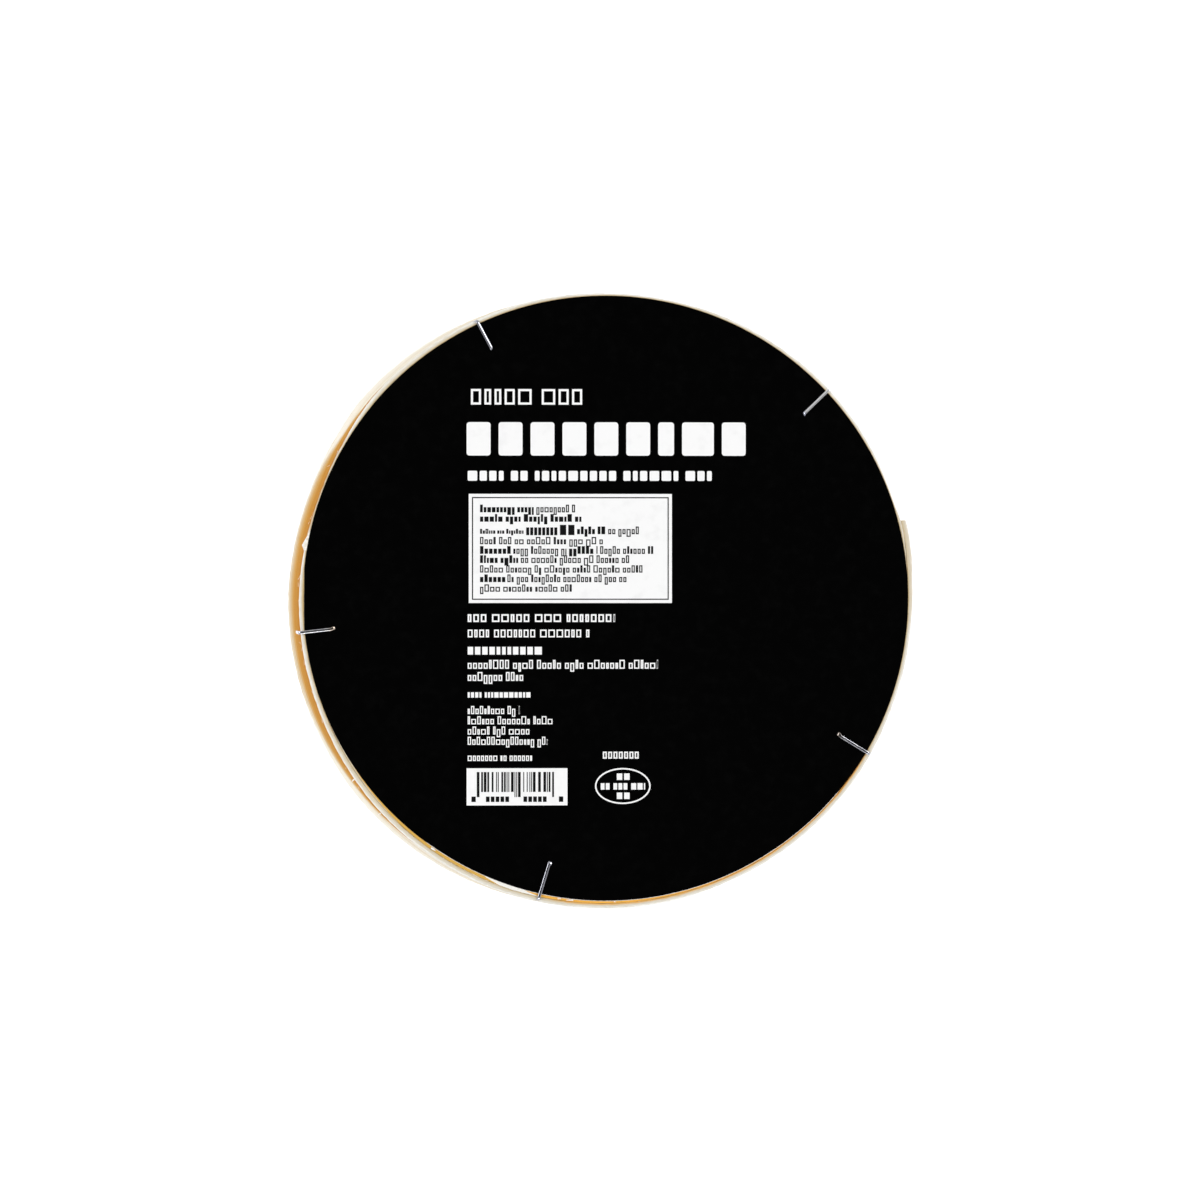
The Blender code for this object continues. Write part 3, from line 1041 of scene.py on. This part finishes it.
# %% White print
LEFT = -25.6
FINE_STROKE = 0.19
FINE_ROWS = (
    # left, right, middle, height, letters, letters in each word, small letters, stroke
    (LEFT, 1.9, -3.75, 1.45, 20, (3, 5, 3, 8), False, 0.28),
    (LEFT, -2.6, -6.6, 1.45, 19, (4, 7, 6), False, 0.24),
    (LEFT, -11.1, -9.8, 1.45, 11, (11,), False, 0.0),
    (LEFT, 9.9, -12.6, 1.1, 36, (8, 4, 5, 4, 7), True, 0.22),
    (LEFT, -14.8, -14.85, 1.1, 12, (7, 4), True, 0.22),
    (LEFT, -13.9, -18.0, 1.0, 15, (4, 12), False, 0.0),
    (LEFT, -15.9, -21.05, 1.0, 12, (9, 2), True, FINE_STROKE),
    (LEFT, -9.8, -22.95, 1.0, 18, (6, 7, 5), True, FINE_STROKE),
    (LEFT, -14.1, -24.85, 1.0, 13, (5, 3, 4), True, FINE_STROKE),
    (LEFT, -10.7, -26.75, 1.0, 18, (15,), True, FINE_STROKE),
    (LEFT, -13.6, -29.75, 1.0, 16, (7, 2, 6), False, FINE_STROKE),
)
label_print = join("label_print", [
    printed_row("print_light_line", -25.0, -3.0, 37.3, 2.9, 9, (5, 3), stroke=0.4),
    printed_row("heading_blocks", -25.8, 26.3, 29.5, 6.2, 9, (10,), corner=0.5),
    printed_row("print_spaced_line", LEFT, 20.4, 22.65, 1.85, 26, (4, 2, 9, 6), corner=CORNER),
    *printed_rows("print_fine", FINE_ROWS),
    printed_row("print_short_bar", -0.4, 6.3, -29.2, 1.3, 7, (7,), stroke=0.24),
])
dress(label_print, print_white, "label_paper")
print("white print: %d faces" % len(label_print.data.polygons))

# %% [markdown]
# Two white plates carry dark print: a framed panel with nine rows, and a block of upright stripes.
# The stripes follow a made-up rule. An oval outline with three short bars closes the layout.

# %% The panel, the stripes and the oval
PANEL = (-25.4, 12.5, -0.95, 19.3)
STRIPE_PLATE = (-25.8, -7.0, -38.5, -31.6)
label_plates = join("label_plates", [
    plate("panel_plate", *PANEL),
    plate("stripe_plate", *STRIPE_PLATE),
])
dress(label_plates, print_white, "label_paper")

PANEL_LEFT = -23.3
PANEL_STROKE = 0.2
PANEL_ROWS = (
    # the same columns
    (PANEL_LEFT, -13.3, 16.35, 0.95, 15, (9, 5), True, 0.0),
    (-12.8, -5.4, 16.35, 0.95, 10, (8, 1), True, PANEL_STROKE),
    (PANEL_LEFT, -4.4, 14.6, 0.95, 24, (5, 4, 6, 5), True, 0.0),
    (PANEL_LEFT, -15.2, 12.2, 0.6, 16, (6, 3, 7), True, PANEL_STROKE),
    (-14.7, -8.9, 12.35, 1.45, 8, (8,), False, 0.0),
    (-8.4, -5.7, 12.6, 1.9, 2, (2,), False, 0.0),
    (-5.2, 0.2, 12.3, 0.95, 8, (5, 3), True, 0.0),
    (0.6, 6.5, 12.3, 0.95, 8, (2, 6), True, PANEL_STROKE),
    (PANEL_LEFT, -0.2, 10.4, 0.9, 28, (4, 3, 2, 5), True, PANEL_STROKE),
    (PANEL_LEFT, -17.6, 8.65, 0.95, 7, (8,), True, 0.0),
    (-17.1, -7.2, 8.65, 0.95, 13, (4, 7), True, PANEL_STROKE),
    (-6.7, -1.4, 8.65, 0.95, 7, (6,), True, 0.0),
    (-0.9, 9.0, 8.65, 0.95, 13, (5, 6), True, PANEL_STROKE),
    (PANEL_LEFT, -16.2, 6.95, 0.95, 10, (5, 5), True, 0.0),
    (-15.7, 4.5, 6.95, 0.95, 26, (2, 6, 5, 2, 6), True, PANEL_STROKE),
    (PANEL_LEFT, 7.4, 5.15, 0.9, 38, (5, 6, 2, 6, 5, 6), True, PANEL_STROKE),
    (PANEL_LEFT, -18.6, 3.4, 0.95, 6, (7,), True, 0.0),
    (-18.2, 4.0, 3.4, 0.95, 29, (2, 3, 8, 7), True, PANEL_STROKE),
    (PANEL_LEFT, -6.2, 1.6, 0.9, 21, (4, 7, 5, 3), True, PANEL_STROKE),
)
FRAME_MARGIN = 0.6
FRAME = (PANEL[0] + FRAME_MARGIN, PANEL[1] - FRAME_MARGIN,
         PANEL[2] + FRAME_MARGIN, PANEL[3] - FRAME_MARGIN)
FRAME_STROKE = 0.2
STRIPES = (-23.9, -9.2, -36.0, -32.3)
STRIPE_MODULES = 90
STRIPE_RUNS = (1, 1, 2, 3)
GUARD_REACH = 4
GUARD_DROP = 0.95
STRIPE_FEET = (
    # the same columns, without the last two
    (-24.9, -24.1, -37.35, 1.0, 1, (9,)),
    (-22.2, -17.9, -37.35, 1.0, 5, (9,)),
    (-15.2, -10.9, -37.35, 1.0, 5, (9,)),
    (-8.6, -7.8, -37.35, 1.0, 1, (9,)),
)


def stripes():
    """Upright dark stripes of uneven width, by a made-up rule, with longer ones as guards."""
    left, right, low, high = STRIPES
    module = (right - left) / STRIPE_MODULES
    made = []
    spot = 0
    chance = random.Random(12)
    while spot < STRIPE_MODULES:
        run = min(chance.choice(STRIPE_RUNS), STRIPE_MODULES - spot)
        from_guard = min(spot, STRIPE_MODULES - 1 - spot, abs(spot - STRIPE_MODULES // 2))
        foot = low - GUARD_DROP if from_guard < GUARD_REACH else low
        edge = left + spot * module
        made.append(plate("stripe", edge, edge + run * module, foot, high, layer=2))
        spot += run + chance.choice(STRIPE_RUNS)
    return made


panel_print = join("panel_print", [
    *printed_rows("print_panel", PANEL_ROWS, layer=2),
    plate("panel_frame", *FRAME, FRAME_STROKE, layer=2),
    *stripes(),
    *printed_rows("print_foot", STRIPE_FEET, layer=2),
])
dress(panel_print, print_black, "label_paper")

OVAL_CENTRE = (3.33, -34.93)
OVAL_HALF = (5.2, 3.35)
OVAL_STROKE = 0.28
OVAL_SIDES = 72
oval = new_piece("oval_outline", bpy.ops.mesh.primitive_circle_add, vertices=OVAL_SIDES,
                 radius=1.0, fill_type="NGON", location=on_label(*OVAL_CENTRE),
                 scale=(OVAL_HALF[0] * MM, OVAL_HALF[1] * MM, 1.0))
hollow(oval, OVAL_STROKE)
thicken(oval, INK)
label_oval = join("label_oval", [
    oval,
    printed_row("oval_bar_top", 2.2, 4.6, -33.2, 1.2, 2, (2,)),
    printed_row("oval_bar_middle", -0.8, 7.5, -35.0, 1.2, 9, (2, 3, 3)),
    printed_row("oval_bar_low", 2.2, 4.6, -36.75, 1.2, 2, (2,)),
])
dress(label_oval, print_white, "label_paper")
print("panel print: %d faces, oval: %d faces" % (
    len(panel_print.data.polygons), len(label_oval.data.polygons)))

# %% [markdown]
# A staple is one flattened wire. It starts as the small rectangle of its own cut end. That face is
# extruded along each straight run and spun round each bend, so the wire keeps its width all the
# way. It is modelled once, lying along +X with its outer bend over the strip's edge, and copied
# to the places and directions that the solids have.

# %% One staple
WIRE_WIDTH = 0.62 * MM
WIRE_THICK = 0.44 * MM
WIRE_EASE = 0.17 * MM
BEND_RADIUS = 0.42 * MM
BEND_STEPS = 5
CROWN_LENGTH = 6.0 * MM
LEG_LENGTH = 1.6 * MM
SIDE_LENGTH = 4.7 * MM
RETURN_LENGTH = 1.0 * MM
FLARE_REACH = 0.30 * MM
MERGE_WITHIN = 0.001 * MM


def spin_bend(x, z):
    """Spin the selected end face a quarter turn round a bend, about a line across the wire."""
    bpy.ops.mesh.spin(steps=BEND_STEPS, angle=-math.pi / 2.0, center=(x, 0.0, z),
                      axis=(0.0, 1.0, 0.0))


def model_staple():
    """A wire from inside the lid, over the face and the edge, and in through the strip."""
    wire = new_piece("staple_pattern", bpy.ops.mesh.primitive_plane_add, size=1.0,
                     location=(-CROWN_LENGTH, 0.0, -LEG_LENGTH),
                     scale=(WIRE_THICK, WIRE_WIDTH, 1.0))
    with editing(wire):
        pick_all()
        push(z=LEG_LENGTH - BEND_RADIUS)
        spin_bend(BEND_RADIUS - CROWN_LENGTH, -BEND_RADIUS)
        push(x=FLARE_REACH)
        push(x=CROWN_LENGTH - 2.0 * BEND_RADIUS - 2.0 * FLARE_REACH)
        push(x=FLARE_REACH)
        spin_bend(-BEND_RADIUS, -BEND_RADIUS)
        push(z=-(SIDE_LENGTH - 2.0 * BEND_RADIUS))
        spin_bend(-BEND_RADIUS, BEND_RADIUS - SIDE_LENGTH)
        push(x=-RETURN_LENGTH)
        pick_all()
        bpy.ops.mesh.remove_doubles(threshold=MERGE_WITHIN)
        face_outwards()
    return wire


staple_pattern = model_staple()
print("staple: %d faces, %s mm" % (
    len(staple_pattern.data.polygons),
    [round(side / MM, 2) for side in staple_pattern.dimensions]))

# %% [markdown]
# Each copy is set by the solid that it stands for. The flat top of a solid's crown gives two
# points, one near the middle of the lid and one near its edge, and the line between them is the
# wire's direction. The real ones were driven by hand, so each has its own length, skew and roll,
# and is flattened or smeared sideways where the hammer met its inner bend.

# %% Set the staples
FLARE_END = BEND_RADIUS + 0.1 * MM
SUNK_IN_PAPER = 0.03 * MM
SUNK_IN_GROOVE = 0.04 * MM
FLAT_WITHIN = 0.02 * MM
# Skew and roll in degrees. The inner bend is flared by a share and smeared by a length.
Staple = namedtuple("Staple", "outer_end length skew roll sidestep flare smear")
LID_STAPLES = (
    Staple(57.20, 5.95, 5.8, 18.0, 0.65, 1.0, 0.0),
    Staple(57.45, 6.75, 2.9, -34.0, 0.0, 1.2, 0.0),
    Staple(56.90, 6.95, -3.3, 8.0, 0.0, 1.35, 0.16),
    Staple(56.75, 7.25, -0.3, -7.0, -0.20, 1.35, 0.10),
    Staple(57.45, 6.75, 0.4, -2.0, 0.0, 1.1, -0.12),
)
BASE_STAPLES = (
    Staple(54.95, 6.4, 2.0, 0.0, 0.0, 1.1, 0.1),
    Staple(54.80, 6.7, -3.0, 2.0, 0.1, 1.3, 0.0),
    Staple(54.95, 6.5, 1.0, -2.0, 0.0, 1.0, -0.1),
    Staple(54.75, 6.9, -1.0, 1.0, -0.1, 1.2, 0.0),
    Staple(54.90, 6.6, 3.0, -1.0, 0.0, 1.1, 0.1),
)


def crown_line(node, upward):
    """The inner end of a staple's crown and its direction outwards, read from its solid."""
    low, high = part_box(node)
    level = high.z if upward else low.z
    flat = [corner.co.copy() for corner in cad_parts[node].data.vertices
            if abs(corner.co.z - level) < FLAT_WITHIN]
    flat.sort(key=lambda spot: spot.xy.length)
    third = max(len(flat) // 3, 1)
    inner = sum(flat[:third], Vector()) / third
    outer = sum(flat[-third:], Vector()) / third
    return inner.xy, (outer - inner).xy.normalized()


def staple_place(node, upward, level, staple):
    """The matrix that sets the pattern: its outer bend on the edge, its crown pointing inwards."""
    inner, along = crown_line(node, upward)
    across = Vector((-along.y, along.x))
    offset = inner.dot(across)
    reach = math.sqrt((staple.outer_end * MM) ** 2 - offset ** 2)
    corner = along * reach + across * (offset + staple.sidestep * MM)
    heading = math.atan2(along.y, along.x) + math.radians(staple.skew)
    roll = math.radians(staple.roll) + (0.0 if upward else math.pi)
    return (Matrix.Translation((*corner, level)) @ Matrix.Rotation(heading, 4, "Z")
            @ Matrix.Rotation(roll, 4, "X"))


def set_staple(name, node, upward, level, staple):
    """Copy the pattern to where a solid staple is, at its own length and lean."""
    wire = copy_of(staple_pattern, name)
    longer = staple.length * MM - CROWN_LENGTH
    for spot in wire.data.vertices:
        if spot.co.x < -CROWN_LENGTH / 2.0:
            if spot.co.x < FLARE_END - CROWN_LENGTH and spot.co.z > -BEND_RADIUS:
                spot.co.y = spot.co.y * staple.flare + staple.smear * MM
            spot.co.x -= longer
    wire.data.transform(staple_place(node, upward, level, staple))
    bevel(wire, WIRE_EASE, segments=3, angle=50.0)
    dress(wire, staple_wire, "staple_wire", node, smooth=60.0)


for side, upward, level, staples in (
        ("lid", True, LABEL_TOP + WIRE_THICK / 2.0 - SUNK_IN_PAPER, LID_STAPLES),
        ("base", False, WIRE_THICK / 2.0 + SUNK_IN_GROOVE, BASE_STAPLES)):
    for number, staple in enumerate(staples, 1):
        set_staple("%s_wire_%d" % (side, number), "%s_staple_%d" % (side, number), upward,
                   level, staple)
discard(staple_pattern)
print("ten staples are set")

# %% [markdown]
# The base's wires would hold the box off the table, so each lies in a groove. A block is laid
# along every wire, the blocks are joined, and a Boolean modifier takes them out of the disc and
# out of the strip's lower edge.

# %% Grooves under the base
GROOVE_WIDTH = 0.9 * MM
GROOVE_DEPTH = 0.56 * MM
GROOVE_PAST_RIM = 2.0 * MM
GROOVE_PAST_WIRE = 0.1 * MM


def groove_block(number, staple):
    """A block where a groove has to be."""
    reach = staple.length * MM + GROOVE_PAST_RIM
    block = new_piece("groove_block", bpy.ops.mesh.primitive_cube_add, size=1.0,
                      location=(GROOVE_PAST_RIM - reach / 2.0 - GROOVE_PAST_WIRE, 0.0, 0.0),
                      scale=(reach, GROOVE_WIDTH, GROOVE_DEPTH * 2.0))
    level_staple = staple._replace(roll=0.0)
    block.data.transform(staple_place("base_staple_%d" % number, False, 0.0, level_staple))
    return block


blocks = join("groove_blocks", [
    groove_block(number, staple) for number, staple in enumerate(BASE_STAPLES, 1)
])
for piece in (base_face, base_wrap):
    finish_with(piece, "BOOLEAN", object=blocks, operation="DIFFERENCE", solver="EXACT")
    shade(piece)
discard(blocks)
print("grooves: %d faces in the base's disc" % len(base_face.data.polygons))

# %% [markdown]
# Rough veneer has loose ends. One splinter of pale wood stands out of the lid's edge at the left,
# and slivers of fibre lie on the edge or hang over it. A sliver is modelled once: a tiny end face
# is extruded in three steps, each thinner than the last. The few that show in the photograph have
# their own places, and the finest ones are strewn by a seeded rule.

# %% Splinter and fibres
SPLINTER_THICK = 0.35 * MM
SPLINTER_PROUD = 0.03 * MM
SPLINTER_EASE = 0.05 * MM
SPLINTER_OUTLINE = ((-54.83, 13.33), (-56.53, 10.35), (-56.13, 9.26), (-55.3, 9.5), (-54.2, 13.2))
FIBRE_END = (0.08 * MM, 0.2 * MM, 1.0)
# How far a sliver reaches and lifts in each step, and the share of its end face that is left.
FIBRE_STEPS = ((0.4, 0.01, 0.9), (0.35, 0.03, 0.7), (0.25, 0.05, 0.3))
SHOWN_FIBRES = (
    # angle, radius and height, direction from outwards, length and width
    (-125.4, 56.15, 0.06, 92.0, 1.0, 1.8),
    (-144.8, 57.30, -0.04, 10.0, 0.6, 1.3),
    (-136.8, 57.45, -0.04, -15.0, 0.6, 1.0),
    (-96.2, 55.86, 0.12, -84.0, 1.4, 1.2),
    (-98.6, 55.88, 0.12, -80.0, 0.7, 0.9),
    (-88.4, 55.84, 0.12, 70.0, 0.4, 0.9),
)
FINE_FIBRES = 60
FINE_WIDTH = 0.25


def fibre_finish():
    """Bare white wood, a little uneven."""
    wood = Finish("torn_fibre", Specular_IOR_Level=WOOD_SHINE, Roughness=0.7)
    x, y, z = wood.place()
    wood.set(Base_Color=wood.mix(wood.noise(x * 3.0, y * 3.0, z * 3.0).between(0.35, 0.7),
                                 linear(252, 250, 246), linear(236, 228, 212)))
    wood.bump(wood.noise(x * 9.0, y * 9.0, z * 9.0), 0.02 * MM)
    return wood.material


def make_splinter():
    """A flat chip whose tip stands out of the lid's edge."""
    chip = new_piece("edge_splinter", bpy.ops.mesh.primitive_circle_add, vertices=5,
                     radius=1.0 * MM, fill_type="NGON",
                     location=(0.0, 0.0, LID_TOP - SPLINTER_THICK))
    for corner, (x, y) in zip(chip.data.vertices, SPLINTER_OUTLINE):
        corner.co.xy = (x * MM, y * MM)
    thicken(chip, SPLINTER_THICK + SPLINTER_PROUD)
    bevel(chip, SPLINTER_EASE)
    return chip


def model_fibre():
    """A sliver lying along +X, which lifts and thins out to a point."""
    fibre = new_piece("fibre_pattern", bpy.ops.mesh.primitive_plane_add, size=1.0,
                      rotation=(0.0, math.pi / 2.0, 0.0), scale=FIBRE_END)
    with editing(fibre):
        pick_all()
        for reach, lift, share in FIBRE_STEPS:
            push(x=reach * MM, z=lift * MM)
            bpy.ops.transform.resize(value=(1.0, share, share))
        face_outwards()
    return fibre


def set_fibre(angle, radius, height, direction, length, width):
    """Copy the sliver to a place on the lid's edge. The fine ones follow the bent strip."""
    fibre = copy_of(fibre_pattern, "fibre")
    radius += waver(angle, LID_BEND) / MM if width == FINE_WIDTH else 0.0
    spot = Vector((radius * MM, 0.0, LID_TOP + height * MM))
    fibre.data.transform(
        Matrix.Rotation(math.radians(angle), 4, "Z") @ Matrix.Translation(spot)
        @ Matrix.Rotation(math.radians(direction), 4, "Z")
        @ Matrix.Diagonal((length, width, 1.0, 1.0)))
    return fibre


splinter = make_splinter()
fibre_pattern = model_fibre()
chance = random.Random(8)
fine_fibres = [
    (chance.uniform(-180.0, 180.0), 57.0 + chance.uniform(-0.1, 0.25), chance.uniform(-0.1, 0.0),
     chance.choice((-80.0, 80.0)) + chance.uniform(-30.0, 30.0), chance.uniform(0.3, 1.0),
     FINE_WIDTH)
    for _ in range(FINE_FIBRES)
]
torn_fibre = fibre_finish()
edge_fibres = join("edge_fibres", [set_fibre(*fibre) for fibre in (*SHOWN_FIBRES, *fine_fibres)])
discard(fibre_pattern)
dress(edge_fibres, torn_fibre, "poplar_strip")
dress(splinter, torn_fibre, "poplar_strip")
print("fibres: %d faces" % len(edge_fibres.data.polygons))

# %% [markdown]
# The box stands on a plain white floor under soft light. The floor glows a little of its own, as
# a lit table does, so that it stays white close to the box. Three broad lamps stand round it. The
# sky is bright towards the horizon and dim overhead, because a flat black label and flat wire
# mirror what is right above them: the label stays black, and the wire gets bright edges and a dark
# middle.

# %% Floor and light
DIM_WITHIN = 14.0
BRIGHT_BEYOND = 38.0
ZENITH_LIGHT = 0.04
SKY_LIGHT = 0.55
FLOOR_SIZE = 12.0
FLOOR_DROP = 0.2 * MM
FLOOR_GLOW = 0.5
PALE_GREY = (0.7, 0.7, 0.7, 1.0)
WHITE = (1.0, 1.0, 1.0, 1.0)
LAMPS = (
    # name, place, size and power
    ("lamp_left", (-1.6, 0.5, 1.2), (1.2, 1.0), 18.0),
    ("lamp_right", (1.5, 0.7, 1.2), (1.2, 1.0), 15.0),
    ("lamp_front", (0.2, -1.7, 1.2), (1.4, 0.9), 13.0),
)


def make_floor():
    """A wide pale floor."""
    floor = new_piece("floor", bpy.ops.mesh.primitive_plane_add, size=FLOOR_SIZE,
                      location=(0.0, 0.0, -FLOOR_DROP))
    white = Finish("floor_white", Roughness=0.9, Specular_IOR_Level=0.0)
    white.shader.inputs["Base Color"].default_value = PALE_GREY
    white.shader.inputs["Emission Color"].default_value = WHITE
    white.shader.inputs["Emission Strength"].default_value = FLOOR_GLOW
    floor.data.materials.append(white.material)
    floor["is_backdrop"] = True


def softbox(name, place, size, power):
    """A broad lamp that looks at the box."""
    bpy.ops.object.light_add(type="AREA", location=place)
    lamp = bpy.context.object
    lamp.name = name
    lamp.data.shape = "RECTANGLE"
    lamp.data.size, lamp.data.size_y = size
    lamp.data.energy = power
    lamp.rotation_euler = (-Vector(place)).to_track_quat("-Z", "Y").to_euler()


def make_sky():
    """A soft sky, dim overhead."""
    world = bpy.data.worlds.new("soft_white")
    world.use_nodes = True
    sky = Sketch(world.node_tree)
    height = sky.node("SeparateXYZ", None, {0: sky.node("TexCoord", output="Generated")}).part("Z")
    rise = [math.cos(math.radians(angle)) for angle in (BRIGHT_BEYOND, DIM_WITHIN)]
    dim = height.between(*rise)
    background = world.node_tree.nodes["Background"]
    background.inputs["Color"].default_value = WHITE
    sky.feed(background.inputs["Strength"], SKY_LIGHT - dim * (SKY_LIGHT - ZENITH_LIGHT))
    bpy.context.scene.world = world


make_floor()
for lamp in LAMPS:
    softbox(*lamp)
make_sky()
bpy.context.scene.view_settings.view_transform = "Standard"
print("three lamps, a soft sky and a white floor")

# %% [markdown]
# Last, the box that the finished pieces fill is written beside the box of the solids, so that the
# two can be compared.

# %% Print the sizes
visual_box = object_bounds()
for label_name, corners in (("solid", solid_box), ("visual", visual_box)):
    print(label_name, "size in mm:", [round(side / MM, 2) for side in corners[1] - corners[0]])
